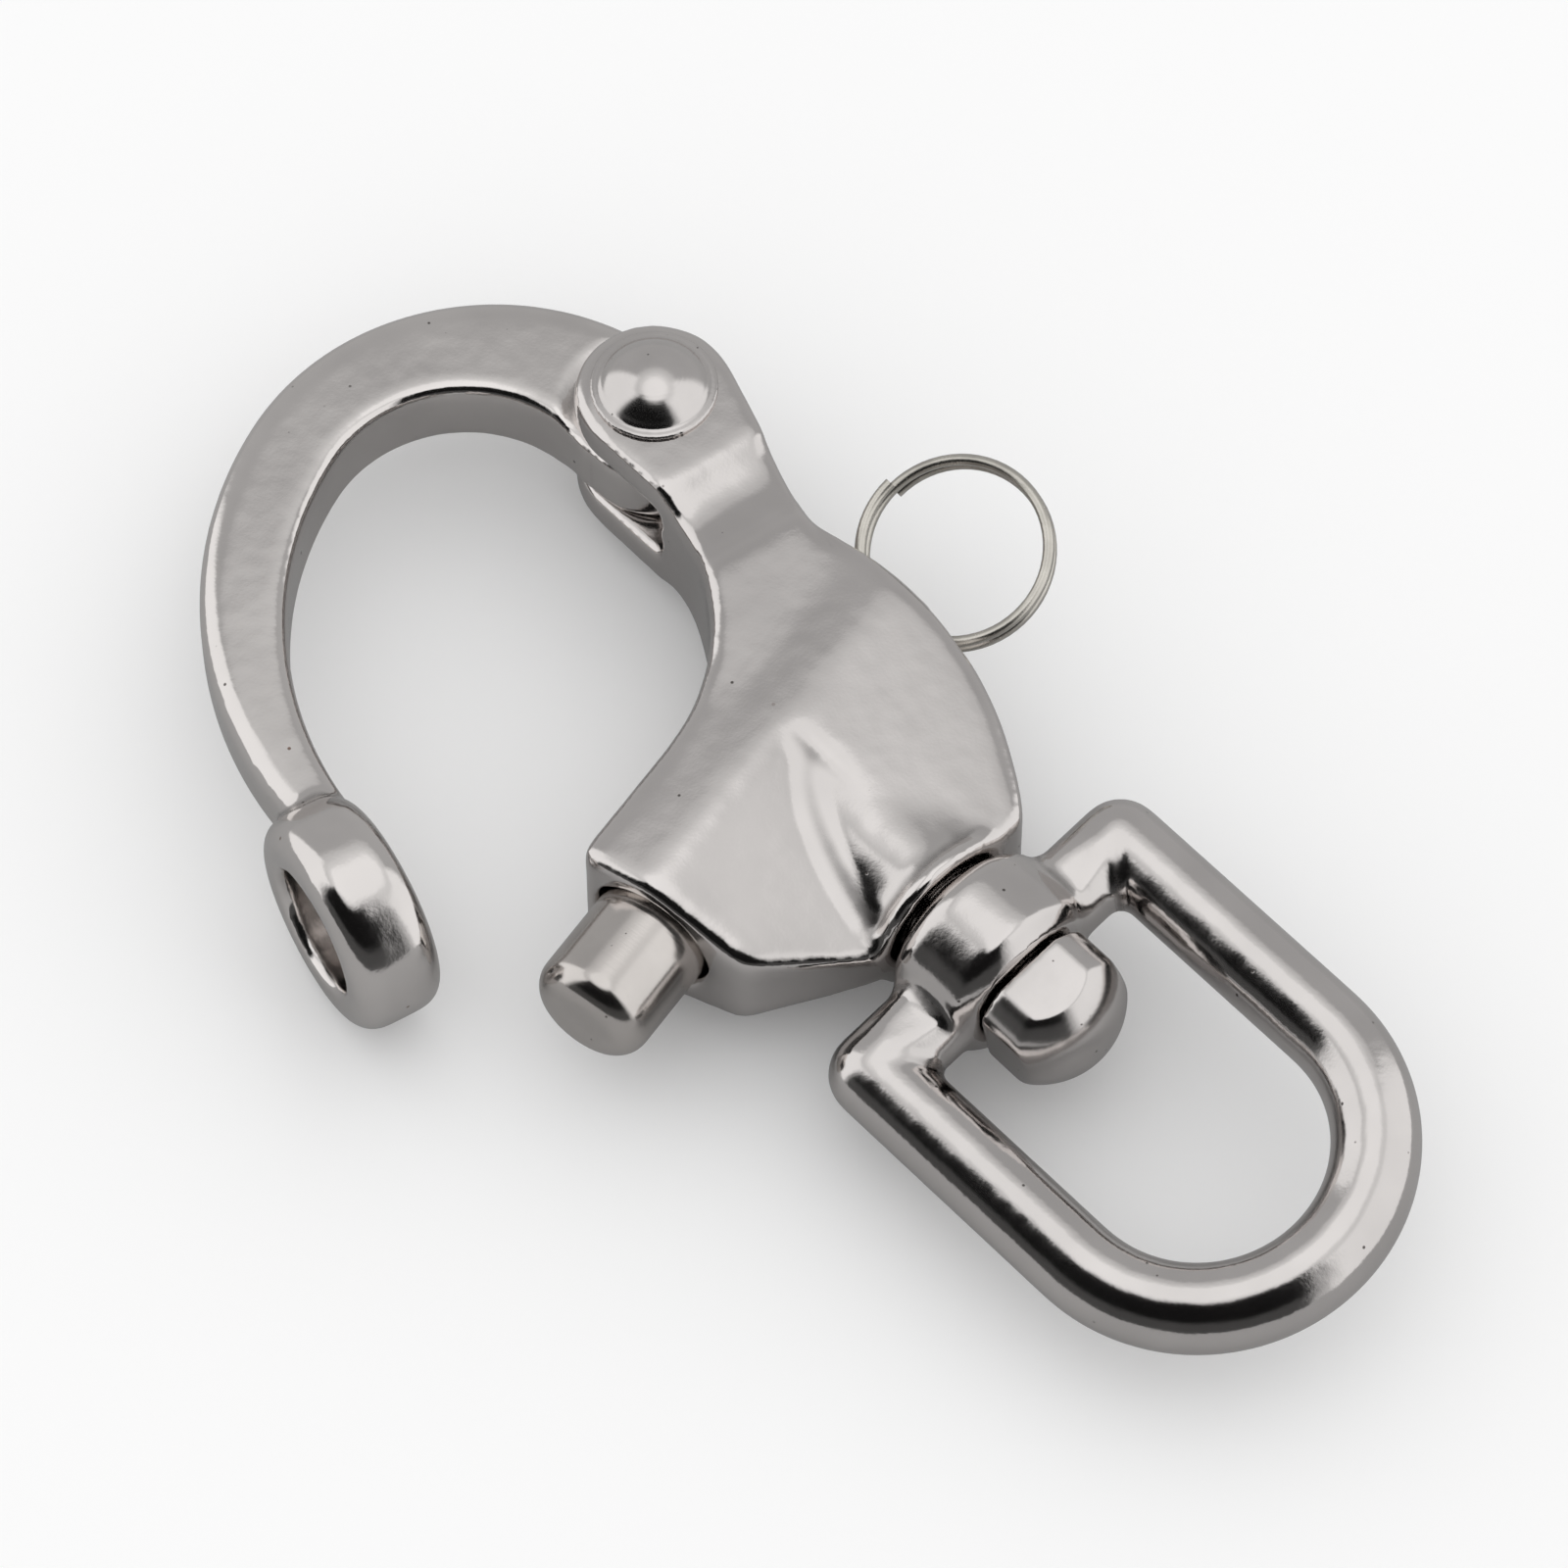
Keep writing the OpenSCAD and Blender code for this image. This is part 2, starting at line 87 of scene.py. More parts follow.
level_share = cos(VIEW_TILT)
towards_eye = Vector((level_share * cos(VIEW_TURN), level_share * sin(VIEW_TURN), sin(VIEW_TILT)))
camera_data = bpy.data.cameras.new("camera")
camera_data.sensor_width = SENSOR_MM
camera_data.lens = LENS_MM
camera = bpy.data.objects.new("camera", camera_data)
camera.location = VIEW_AIM + towards_eye * VIEW_DISTANCE
camera.rotation_euler = towards_eye.to_track_quat("Z", "Y").to_euler()
scene.collection.objects.link(camera)
scene.camera = camera
scene.view_settings.view_transform = "Standard"
print("camera stands at", [round(c, 3) for c in camera.location])

# %% [markdown]
# ## Shader maths that reads as maths
# Node trees get long when each sum is three lines of code. Wrapping a socket in a small class lets
# Python's own operators add the Math nodes, so a mask is written as it would be on paper. All other
# nodes come from one method: settings first, because some of them change the sockets, then sockets.
# A socket that shares its name with others on its node, as those of Mix do, is given by number.


# %% Flow and Recipe
class Flow:
    """One output socket. Arithmetic on it adds Math nodes to its tree."""

    def __init__(self, tree, socket):
        self.tree = tree
        self.socket = socket

    def math(self, operation, first, second):
        made = self.tree.nodes.new("ShaderNodeMath")
        made.operation = operation
        for place, value in zip(made.inputs, (first, second)):
            if isinstance(value, Flow):
                self.tree.links.new(value.socket, place)
            else:
                place.default_value = value
        return Flow(self.tree, made.outputs[0])

    def __add__(self, other):
        return self.math("ADD", self, other)

    def __radd__(self, other):
        return self.math("ADD", other, self)

    def __sub__(self, other):
        return self.math("SUBTRACT", self, other)

    def __rsub__(self, other):
        return self.math("SUBTRACT", other, self)

    def __mul__(self, other):
        return self.math("MULTIPLY", self, other)

    def __rmul__(self, other):
        return self.math("MULTIPLY", other, self)


class Recipe:
    """A node tree that is filled by one method."""

    def __init__(self, tree):
        self.tree = tree

    def node(self, kind, settings=None, sockets=None, out=0):
        made = self.tree.nodes.new(kind)
        for name, value in (settings or {}).items():
            setattr(made, name, value)
        for name, value in (sockets or {}).items():
            if isinstance(value, Flow):
                self.tree.links.new(value.socket, made.inputs[name])
            else:
                made.inputs[name].default_value = value
        return Flow(self.tree, made.outputs[out]) if made.outputs else None

    def step(self, value, low, high):
        """Nought below low, one above high, smooth between them. Low may be the larger."""
        if low > high:
            return 1 - self.step(value, high, low)
        smooth = {"interpolation_type": "SMOOTHSTEP"}
        return self.node("ShaderNodeMapRange", smooth, {0: value, 1: low, 2: high})

    def mix(self, share, first, second):
        return self.node("ShaderNodeMix", {"data_type": "RGBA"}, {0: share, 6: first, 7: second}, out=2)

    def vector(self, operation, *values, out=0):
        return self.node("ShaderNodeVectorMath", {"operation": operation}, dict(enumerate(values)), out)


print("shader helpers ready")

# %% [markdown]
# ## Paint for a tent
# Polished steel has hardly a colour of its own: it looks like what stands round it. The real shackle
# mirrors a bright ceiling, a bright screen at each side, a grey back wall that gets lighter towards
# the ceiling, and a black front that greys a little near the floor. A bare white world would make it
# look like plaster, and lamps would light the floor as well. So a tent that only mirrors see carries
# those fields as paint, by the direction of each of its points: turn from the camera's side, above
# nought to the camera's right, and height over the horizon, both in degrees.

# %% Tent paint
WALL_LEVEL = 0.43
# Each lift of the wall: how much lighter, and the heights where it begins and is complete
WALL_LIFTS = ((0.20, 48, 57), (0.16, 57, 68))
# Each field: turn from, turn to, upper edge, and how soft its edges are
RIGHT_SCREEN = (46, 122, 60, 6)
RIGHT_LEVEL = 0.92
LEFT_SCREEN = (-132, -75, 57, 4)
LEFT_LEVEL = 0.96
DARK_FRONT = (-70, 38, 65, 3)
DARK_LEVEL = 0.008
DARK_LIFT = 0.06
DARK_LIFT_HEIGHTS = (27, 14)
CEILING_HEIGHTS = (67, 72)
CEILING_LEVEL = 1.0
TO_DEGREES = 180 / pi


def painted(name):
    """A material with an empty tree, and the recipe that fills it."""
    material = bpy.data.materials.new(name)
    material.use_nodes = True
    material.node_tree.nodes.clear()
    return material, Recipe(material.node_tree)


def tent_paint():
    material, recipe = painted("tent_paint")
    place = recipe.node("ShaderNodeTexCoord", out=3)
    facing = recipe.node("ShaderNodeMapping", None, {"Vector": place, "Rotation": (0.0, 0.0, -VIEW_TURN)})
    facing = recipe.vector("NORMALIZE", facing)
    parts = recipe.node("ShaderNodeSeparateXYZ", None, {0: facing}).socket.node.outputs
    along, across, up = [Flow(material.node_tree, part) for part in parts]
    turn = across.math("ARCTAN2", across, along) * TO_DEGREES
    height = up.math("ARCSINE", up, 0.0) * TO_DEGREES

    def field(turn_low, turn_high, top, soft):
        wide = recipe.step(turn, turn_low - soft, turn_low + soft)
        wide = wide * recipe.step(turn, turn_high + soft, turn_high - soft)
        return wide * recipe.step(height, top + soft, top - soft)

    def over(level, value, mask):
        return level + (value - level) * mask

    level = WALL_LEVEL
    for lift, low, high in WALL_LIFTS:
        level = level + lift * recipe.step(height, low, high)
    level = over(level, RIGHT_LEVEL, field(*RIGHT_SCREEN))
    level = over(level, LEFT_LEVEL, field(*LEFT_SCREEN))
    dark = DARK_LEVEL + DARK_LIFT * recipe.step(height, *DARK_LIFT_HEIGHTS)
    level = over(level, dark, field(*DARK_FRONT))
    level = over(level, CEILING_LEVEL, recipe.step(height, *CEILING_HEIGHTS))
    glow = recipe.node("ShaderNodeEmission", None, {"Strength": level})
    recipe.node("ShaderNodeOutputMaterial", None, {"Surface": glow})
    material.cycles.emission_sampling = "NONE"
    return material


tent_finish = tent_paint()
print("tent paint:", len(tent_finish.node_tree.nodes), "nodes")

# %% [markdown]
# ## Floor, tray and tent
# The plain white world lights the pale floor, and the floor keeps a soft shadow, as in the
# photograph. Mirrors don't see that world: they see the tent. It is small, so each point of a flat
# face sees another part of it, and the face isn't one even tone. A grey tray, also for mirrors
# alone, lies just over the floor, because a side wall of the steel mirrors a duller ground than white.

# %% Floor, tray and tent
FLOOR_R = 8.0
FLOOR_DROP = 0.00005
FLOOR_PALE = (0.97, 0.97, 0.97, 1.0)
TRAY_R = 0.4
TRAY_GREY = (0.40, 0.40, 0.40, 1.0)
TENT_R = 0.35
WHITE = (1.0, 1.0, 1.0, 1.0)


def plain(name, colour):
    material, recipe = painted(name)
    matt = recipe.node("ShaderNodeBsdfDiffuse", None, {"Color": colour})
    recipe.node("ShaderNodeOutputMaterial", None, {"Surface": matt})
    return material


def disc(radius, height, sides=64):
    turns = [2 * pi * i / sides for i in range(sides)]
    points = [(radius * cos(a), radius * sin(a), height) for a in turns]
    return points, [list(range(sides))]


def dome(radius, floor, sides=96, row_degrees=3):
    rows = [radians(r) for r in range(0, 90, row_degrees)]
    turns = [2 * pi * i / sides for i in range(sides)]
    points = [(radius * cos(e) * cos(a), radius * cos(e) * sin(a), floor + radius * sin(e))
              for e in rows for a in turns]
    starts = [row * sides for row in range(len(rows))]
    faces = [[low + i, low + (i + 1) % sides, high + (i + 1) % sides, high + i]
             for low, high in zip(starts, starts[1:]) for i in range(sides)]
    faces.append([starts[-1] + i for i in range(sides)])
    return points, faces


def stage_mesh(name, shape, paint):
    points, faces = shape
    mesh = bpy.data.meshes.new(name)
    mesh.from_pydata(points, [], faces)
    mesh.materials.append(paint)
    piece = bpy.data.objects.new(name, mesh)
    scene.collection.objects.link(piece)
    piece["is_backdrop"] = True
    return piece


def mirrored_only(piece):
    piece.location = (VIEW_AIM.x, VIEW_AIM.y, 0.0)
    piece.visible_camera = False
    piece.visible_diffuse = False
    piece.visible_shadow = False
    piece.visible_volume_scatter = False


world = bpy.data.worlds.new("white_room")
world.use_nodes = True
background = world.node_tree.nodes["Background"].inputs
background["Color"].default_value = WHITE
background["Strength"].default_value = 1.0
world.cycles_visibility.glossy = False
scene.world = world

floor_z = solid_box[0][2] - FLOOR_DROP
stage_mesh("floor", disc(FLOOR_R, floor_z), plain("pale_floor", FLOOR_PALE))
mirrored_only(stage_mesh("tray", disc(TRAY_R, floor_z + FLOOR_DROP / 2), plain("grey_tray", TRAY_GREY)))
mirrored_only(stage_mesh("tent", dome(TENT_R, floor_z), tent_finish))
print("floor at", round(floor_z * 1000, 2), "mm")

# %% [markdown]
# ## What all the metal shares
# Every finish is a few masks on object coordinates, which are turned into millimetres so that a scale
# of 3 means about three grains to the millimetre. The mesh brings one mask of its own, the attribute
# "edge", which the soft pieces below write: above nought on corners that stick out and rub bright,
# below it in nooks, which get painted shade and a rougher skin. An image texture would need
# unwrapping and would blur close by.

# %% Masks and surface of metal
MM_PER_M = 1000.0
PINHOLE = (0.05, 0.04, 0.035, 1.0)
CLOUD_SPAN = (0.3, 0.7)
RUB_SPAN = (0.08, 0.7)
NOOK_SHADE_SPAN = (-0.06, -0.6)
DRAW_EASE = 0.02


def millimetres(recipe, shift=0.0):
    place = recipe.node("ShaderNodeTexCoord", out=3)
    sockets = {"Vector": place, "Scale": (MM_PER_M,) * 3, "Location": (shift,) * 3}
    return recipe.node("ShaderNodeMapping", None, sockets)


def noise(recipe, place, scale, detail):
    return recipe.node("ShaderNodeTexNoise", None, {"Vector": place, "Scale": scale, "Detail": detail})


def pinholes(recipe, place, scale, size, kept):
    """A dot in some of the cells of a Voronoi pattern: kept is the share that gets one."""
    gap = recipe.node("ShaderNodeTexVoronoi", None, {"Vector": place, "Scale": scale})
    draw = Flow(gap.tree, gap.socket.node.outputs["Color"])
    draw = recipe.node("ShaderNodeSeparateColor", None, {0: draw})
    return recipe.step(gap, size, size * 0.5) * recipe.step(draw, kept, kept - DRAW_EASE)


# The rub mask marks worn corners. The nook mask marks hollows, whose colour is darkened as painted shade.
def rub_and_nook_shade(recipe):
    edge = recipe.node("ShaderNodeAttribute", {"attribute_name": "edge"}, out=2)
    return recipe.step(edge, *RUB_SPAN), recipe.step(edge, *NOOK_SHADE_SPAN)


def shaded(tint, share):
    return (*[c * share for c in tint], 1.0)


def clouded(recipe, cloud, tint, dull):
    return recipe.mix(recipe.step(cloud, *CLOUD_SPAN), shaded(tint, dull), shaded(tint, 1.0))


def bump(recipe, height, depth, under=None):
    sockets = {"Strength": 1.0, "Distance": depth, "Height": height}
    if under is not None:
        sockets["Normal"] = under
    return recipe.node("ShaderNodeBump", None, sockets)


def metal_surface(recipe, colour, rough, normal):
    sockets = {"Base Color": colour, "Metallic": 1.0, "Roughness": rough, "Normal": normal}
    skin = recipe.node("ShaderNodeBsdfPrincipled", None, sockets)
    recipe.node("ShaderNodeOutputMaterial", None, {"Surface": skin})


print("metal helpers ready")

# %% [markdown]
# ## Cast steel
# Shackles like this are investment cast and then tumbled with ceramic stones, which leaves a bright
# skin that is never quite even: slow waves left by the wax, a fine grain, a few pinholes where gas
# was caught, here and there a speck of rust, and a rougher skin in the nooks that no stone reaches.
# Each of these is one mask, and feeds colour, roughness or the bump as it does on the real skin. The
# nooks are also darkened in colour, which is painted shade. The jaw is a casting of its own and came
# out a little brighter, with more specks. On the neck of the body a rough spot is left where the
# metal ran in and its stub was ground off.

# %% Cast steel
STEEL = (0.755, 0.722, 0.705)
BRIGHTER = (0.815, 0.78, 0.76)
RUST = (0.16, 0.07, 0.035, 1.0)
GATE_STUB = (-69.5, 15.0, 7.4)
GATE_SPAN = (3.6, 1.2)


def cast_steel(name, tint, shift, rusty, gate=None):
    material, recipe = painted(name)
    place = millimetres(recipe, shift)
    cloud = noise(recipe, place, scale=0.09, detail=3.0)
    wave = noise(recipe, place, scale=0.33, detail=1.0)
    grain = noise(recipe, place, scale=3.2, detail=3.0)
    rub, nook_shade = rub_and_nook_shade(recipe)
    holes = pinholes(recipe, place, scale=0.55, size=0.11, kept=0.13)
    specks = pinholes(recipe, place, scale=0.36, size=0.08, kept=rusty)

    colour = clouded(recipe, cloud, tint, dull=0.90)
    colour = recipe.mix(rub * 0.6, colour, shaded(tint, 1.05))
    # Painted shade: nooks are darkened towards three tenths of the tint.
    colour = recipe.mix(nook_shade * 0.55, colour, shaded(tint, 0.30))
    colour = recipe.mix(holes * 0.85, colour, PINHOLE)
    colour = recipe.mix(specks * 0.8, colour, RUST)
    rough = 0.06 + 0.06 * cloud + 0.07 * grain + 0.22 * nook_shade + 0.25 * holes - 0.02 * rub

    height = grain - 1.5 * holes - 1.0 * specks
    if gate is not None:
        reach = recipe.vector("DISTANCE", place, gate, out=1)
        lumps = noise(recipe, place, scale=1.1, detail=2.0)
        height = height + 6.0 * recipe.step(reach, *GATE_SPAN) * lumps
    slow = bump(recipe, wave, depth=0.00006)
    metal_surface(recipe, colour, rough, bump(recipe, height, depth=0.000006, under=slow))
    return material


body_steel = cast_steel("cast_steel_body", STEEL, shift=0.0, rusty=0.02, gate=GATE_STUB)
jaw_steel = cast_steel("cast_steel_jaw", BRIGHTER, shift=37.0, rusty=0.10)
bail_steel = cast_steel("cast_steel_bail", STEEL, shift=71.0, rusty=0.02)
print("cast finishes:", body_steel.name, jaw_steel.name, bail_steel.name)

# %% [markdown]
# ## Turned steel
# The rivet, the plunger and the stud come off a lathe, whose tool leaves fine, slightly uneven rings.
# On the plunger and the stud they follow each other along the axis. On the rivet's heads, which are
# faced from the end, they lie round the centre. So the bump is a noise of one number only: how far
# along the axis a point lies, or how far out. The plunger is a little warmer in tone than the rest.

# %% Turned steel
PLUNGER_SLANT = radians(12.0)
PLUNGER_WAY = (-sin(PLUNGER_SLANT), cos(PLUNGER_SLANT), 0.0)
STUD_WAY = (1.0, 0.0, 0.0)
HINGE = (-88.2, 15.7, 0.0)
LEVEL_ONLY = (1.0, 1.0, 0.0)
WARM = (0.73, 0.69, 0.66)


def turned_steel(name, tint, axis=None, centre=None):
    material, recipe = painted(name)
    place = millimetres(recipe)
    cloud = noise(recipe, place, scale=0.16, detail=3.0)
    grain = noise(recipe, place, scale=4.0, detail=2.0)
    if centre is None:
        along = recipe.vector("DOT_PRODUCT", place, axis, out=1)
    else:
        level = recipe.vector("MULTIPLY", recipe.vector("SUBTRACT", place, centre), LEVEL_ONLY)
        along = recipe.vector("LENGTH", level, out=1)
    line = {"noise_dimensions": "1D"}
    rings = recipe.node("ShaderNodeTexNoise", line, {"W": along, "Scale": 5.0, "Detail": 3.0})
    rub, nook_shade = rub_and_nook_shade(recipe)
    marks = pinholes(recipe, place, scale=0.7, size=0.10, kept=0.20)

    colour = clouded(recipe, cloud, tint, dull=0.90)
    # Painted shade: nooks are darkened towards about a quarter of the tint.
    colour = recipe.mix(nook_shade * 0.6, colour, shaded(tint, 0.28))
    colour = recipe.mix(marks * 0.7, colour, PINHOLE)
    rough = 0.09 + 0.07 * cloud + 0.07 * rings + 0.2 * nook_shade + 0.2 * marks - 0.02 * rub
    height = 0.5 * rings + 0.4 * grain - 2.0 * marks
    metal_surface(recipe, colour, rough, bump(recipe, height, depth=0.000006))
    return material


plunger_steel = turned_steel("turned_steel_plunger", WARM, axis=PLUNGER_WAY)
rivet_steel = turned_steel("turned_steel_rivet", STEEL, centre=HINGE)
stud_steel = turned_steel("turned_steel_stud", STEEL, axis=STUD_WAY)
print("turned finishes:", plunger_steel.name, rivet_steel.name, stud_steel.name)

# %% [markdown]
# ## An even skin
# No edge of a casting is sharp: wax, ceramic shell and tumbling round it to about half a millimetre,
# and inner corners fill in the same way. Bevelling every edge of a cut solid is fragile. Here a copy
# of the solid is merged and rebuilt on an even grid, so that its points lie about equally far apart
# and can be averaged. The copy is tilted first and turned back afterwards: a face that lies nearly
# along the grid comes out in shallow steps, and polished metal shows those as a row of beads.

# %% Even skin
WELD_GAP = 0.000002
TILT_DEGREES = 34.0
TILT_AXIS = Vector((0.74, 0.55, 0.39))
GRID_TILT = Matrix.Rotation(radians(TILT_DEGREES), 4, TILT_AXIS)


def even_skin(node, grid):
    """The node's solid, merged and rebuilt on an even grid, as a plain mesh."""
    copy = bpy.data.objects.new(node + "_copy", nodes[node].data.copy())
    copy.data.transform(GRID_TILT)
    scene.collection.objects.link(copy)
    weld = copy.modifiers.new("weld", "WELD")
    weld.merge_threshold = WELD_GAP
    rebuild = copy.modifiers.new("grid", "REMESH")
    rebuild.mode = "VOXEL"
    rebuild.voxel_size = grid
    rebuilt = copy.evaluated_get(bpy.context.evaluated_depsgraph_get())
    skin = bpy.data.meshes.new_from_object(rebuilt)
    skin.transform(GRID_TILT.inverted())
    cut_solid = copy.data
    bpy.data.objects.remove(copy)
    bpy.data.meshes.remove(cut_solid)
    return skin


print("grid tilted by", TILT_DEGREES, "degrees")

# %% [markdown]
# ## Rounding by averaging
# Each point of the skin moves towards the mean of its neighbours a number of times. That rounds outer
# and inner corners alike and leaves flats where they are, as tumbling does. The same few lines work
# on any rows of numbers, so they also blur a mask over the surface, and the pull may differ from
# point to point, so one part of a piece can be worn more than another.

# %% Averaging
PULL = 0.5


def relax(rows, pairs, rounds, pull=PULL):
    """Each point's row moves by the share pull towards the mean of its neighbours' rows."""
    first, second = pairs[:, 0], pairs[:, 1]
    count = np.bincount(first, minlength=len(rows)) + np.bincount(second, minlength=len(rows))
    for _ in range(rounds):
        mean = np.empty_like(rows)
        for k in range(rows.shape[1]):
            mean[:, k] = np.bincount(first, rows[second, k], len(rows))
            mean[:, k] += np.bincount(second, rows[first, k], len(rows))
        rows = rows + pull * (mean / count[:, None] - rows)
    return rows


print("each round pulls a point", PULL, "of the way to its neighbours' mean")

# %% [markdown]
# ## A soft piece
# How far a point moved along its normal says whether it lies on a corner, and is kept as "edge" for
# the finishes. Points in hollows are then averaged many times more, because wax and shell fill an
# inner corner with a broad fillet. Where a stretch along X is named as worn, all its edges get more
# rounds, and broad fillets are made only there. They stay small in the recess at the back, which has
# to keep its depth for the plunger's tail and the ring.

# %% Soft piece
EDGE_FULL = 0.9
EDGE_BLUR = 4
HOLLOW_GAIN = 4.0
HOLLOW_START = 0.4
HOLLOW_BLUR = 12
HOLLOW_SPREAD = 3.0
WORN_EASE = 0.003
RECESS_Y = 0.010
RECESS_SHARE = 0.15


def read_rows(items, what, width, kind=float):
    """One property of every vertex or edge, as the rows of an array."""
    values = np.empty(len(items) * width, dtype=kind)
    items.foreach_get(what, values)
    return values.reshape(-1, width)


def soft_piece(node, body, material, grid, rounds, fillet, worn=None):
    """Stands for a node: grid is in metres, and rounds, fillet and wear count averagings."""
    skin = even_skin(node, grid)
    points = read_rows(skin.vertices, "co", 3)
    normals = read_rows(skin.vertices, "normal", 3)
    pairs = read_rows(skin.edges, "vertices", 2, np.int64)
    soft = relax(points, pairs, rounds)
    moved = ((points - soft) * normals).sum(1, keepdims=True) / (grid * EDGE_FULL)
    moved = relax(moved, pairs, EDGE_BLUR)
    hollow = np.clip(-HOLLOW_GAIN * moved - HOLLOW_START, 0.0, 1.0)
    hollow = np.clip(HOLLOW_SPREAD * relax(hollow, pairs, HOLLOW_BLUR), 0.0, 1.0)
    if worn is not None:
        low, high, wear = worn
        block = np.clip((points[:, :1] - low) / WORN_EASE, 0.0, 1.0)
        block = block * np.clip((high - points[:, :1]) / WORN_EASE, 0.0, 1.0)
        soft = relax(soft, pairs, wear, PULL * block)
        hollow = hollow * block * np.clip((RECESS_Y - points[:, 1:2]) / WORN_EASE, RECESS_SHARE, 1.0)
    soft = relax(soft, pairs, fillet, PULL * hollow)
    skin.vertices.foreach_set("co", soft.ravel())
    mark = skin.attributes.new("edge", "FLOAT", "POINT")
    mark.data.foreach_set("value", np.clip(moved[:, 0], -1.0, 1.0).astype(np.float32))
    skin.shade_smooth()
    skin.update()
    skin.materials.clear()
    skin.materials.append(material)
    piece = bpy.data.objects.new(node + "_soft", skin)
    scene.collection.objects.link(piece)
    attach(piece, body)
    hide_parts(node)
    triangles = sum(len(face.vertices) - 2 for face in skin.polygons)
    print(piece.name, triangles, "triangles")


print("worn stretches fade out over", WORN_EASE * 1000, "mm")

# %% [markdown]
# ## Castings
# The body is one casting: the slanted plunger housing with its facets, the round boss that carries
# the swivel, and the forked neck of the hinge. The jaw is a bent bar with an eye at its end, and the
# bail a bent rod with a collar. They share the tumbled finish. On the real body the facets run softly
# into each other, so its block, from the neck to the boss, is the stretch that is named as worn.

# %% Body, jaw and bail
BLOCK_FROM_X = -0.0790
BLOCK_TO_X = -0.0345
BLOCK_WEAR = 30
BLOCK = (BLOCK_FROM_X, BLOCK_TO_X, BLOCK_WEAR)
soft_piece("body", "housing", body_steel, grid=0.00035, rounds=30, fillet=260, worn=BLOCK)
soft_piece("jaw", "jaw", jaw_steel, grid=0.00030, rounds=26, fillet=60)
soft_piece("swivel_bail", "bail", bail_steel, grid=0.00028, rounds=22, fillet=60)

# %% [markdown]
# ## Turned pieces
# The rivet is headed over at both ears, the plunger carries the nose that locks the jaw, and the stud
# holds the bail. A tool breaks their corners only slightly, so they get a finer grid, and the rivet
# and the plunger few rounds. The stud gets more: the four flats of its head run softly into the dome.

# %% Rivet, plunger and stud
soft_piece("hinge_rivet", "housing", rivet_steel, grid=0.00016, rounds=6, fillet=4)
soft_piece("plunger", "plunger", plunger_steel, grid=0.00018, rounds=6, fillet=0)
soft_piece("swivel_stud", "housing", stud_steel, grid=0.00017, rounds=24, fillet=0)

# %% [markdown]
# ## Drawn wire
# Spring wire is pulled through a die, which leaves it bright with a very fine grain. On a wire of one
# millimetre the grain shows only as a soft glitter, so plain noise is enough. The tone is a little
# straw-coloured, as stainless wire is after it has been heat treated.

# %% Wire steel
STRAW = (0.72, 0.69, 0.63)


def wire_steel(name, tint):
    material, recipe = painted(name)
    place = millimetres(recipe)
    cloud = noise(recipe, place, scale=0.35, detail=3.0)
    grain = noise(recipe, place, scale=6.0, detail=2.0)
    rough = 0.16 + 0.10 * cloud + 0.08 * grain
    colour = clouded(recipe, cloud, tint, dull=0.82)
    metal_surface(recipe, colour, rough, bump(recipe, grain, depth=0.000005))
    return material


wire = wire_steel("wire_steel_bright", STRAW)
print("wire finish:", wire.name)

# %% [markdown]
# ## Coiled wire
# The pull ring and the plunger's spring are both a wire that follows a rising circle, which is what
# Geometry Nodes do best: a spiral curve, a nudge along its axis, and a round section swept along it.
# One tree serves both, with its sizes as named inputs. A split ring is sprung apart where it is held:
# Hold says how many turns from its start that is, and Gape how far its first turn stands off on the
# far side. A spring's end turns lie flat against each other, which is Flat ends.

# %% A tree for coiled wire
POINTS_A_TURN = 64
SECTION_SIDES = 14


def coil_tree():
    tree = bpy.data.node_groups.new("coiled_wire", "GeometryNodeTree")
    recipe = Recipe(tree)
    tree.interface.new_socket("Mesh", in_out="OUTPUT", socket_type="NodeSocketGeometry")
    for name in ("Radius", "Wire", "Turns", "Rise", "Gape", "Hold", "Flat ends"):
        tree.interface.new_socket(name, in_out="INPUT", socket_type="NodeSocketFloat")
    tree.interface.new_socket("Finish", in_out="INPUT", socket_type="NodeSocketMaterial")
    given = tree.nodes.new("NodeGroupInput")
    size = {s.name: Flow(tree, s) for s in given.outputs if s.name}
    spiral = recipe.node("GeometryNodeCurveSpiral", None, {
        "Resolution": POINTS_A_TURN, "Rotations": size["Turns"], "Start Radius": size["Radius"],
        "End Radius": size["Radius"], "Height": size["Rise"]})
    share = recipe.node("GeometryNodeSplineParameter")
    angle = share * (2 * pi)
    flatten = size["Flat ends"] * size["Rise"] * angle.math("SINE", angle, 0.0) * (-1 / (2 * pi))
    swing = (share * size["Turns"] - size["Hold"]) * (2 * pi)
    far = (1 - swing.math("COSINE", swing, 0.0)) * 0.5
    gape = size["Gape"] * (share - 1) * far
    nudge = recipe.node("ShaderNodeCombineXYZ", None, {"Z": flatten + gape})
    path = recipe.node("GeometryNodeSetPosition", None, {"Geometry": spiral, "Offset": nudge})
    section = recipe.node("GeometryNodeCurvePrimitiveCircle", None,
                          {"Resolution": SECTION_SIDES, "Radius": size["Wire"] * 0.5})
    swept = recipe.node("GeometryNodeCurveToMesh", None,
                        {"Curve": path, "Profile Curve": section, "Fill Caps": True})
    swept = recipe.node("GeometryNodeSetShadeSmooth", None, {0: swept})
    swept = recipe.node("GeometryNodeRealizeInstances", None, {0: swept})
    done = recipe.node("GeometryNodeSetMaterial", None, {"Geometry": swept, "Material": size["Finish"]})
    shown = tree.nodes.new("NodeGroupOutput")
    tree.links.new(done.socket, shown.inputs["Mesh"])
    return tree


coil = coil_tree()
print("coil sizes:", [item.name for item in coil.interface.items_tree if item.in_out == "INPUT"])

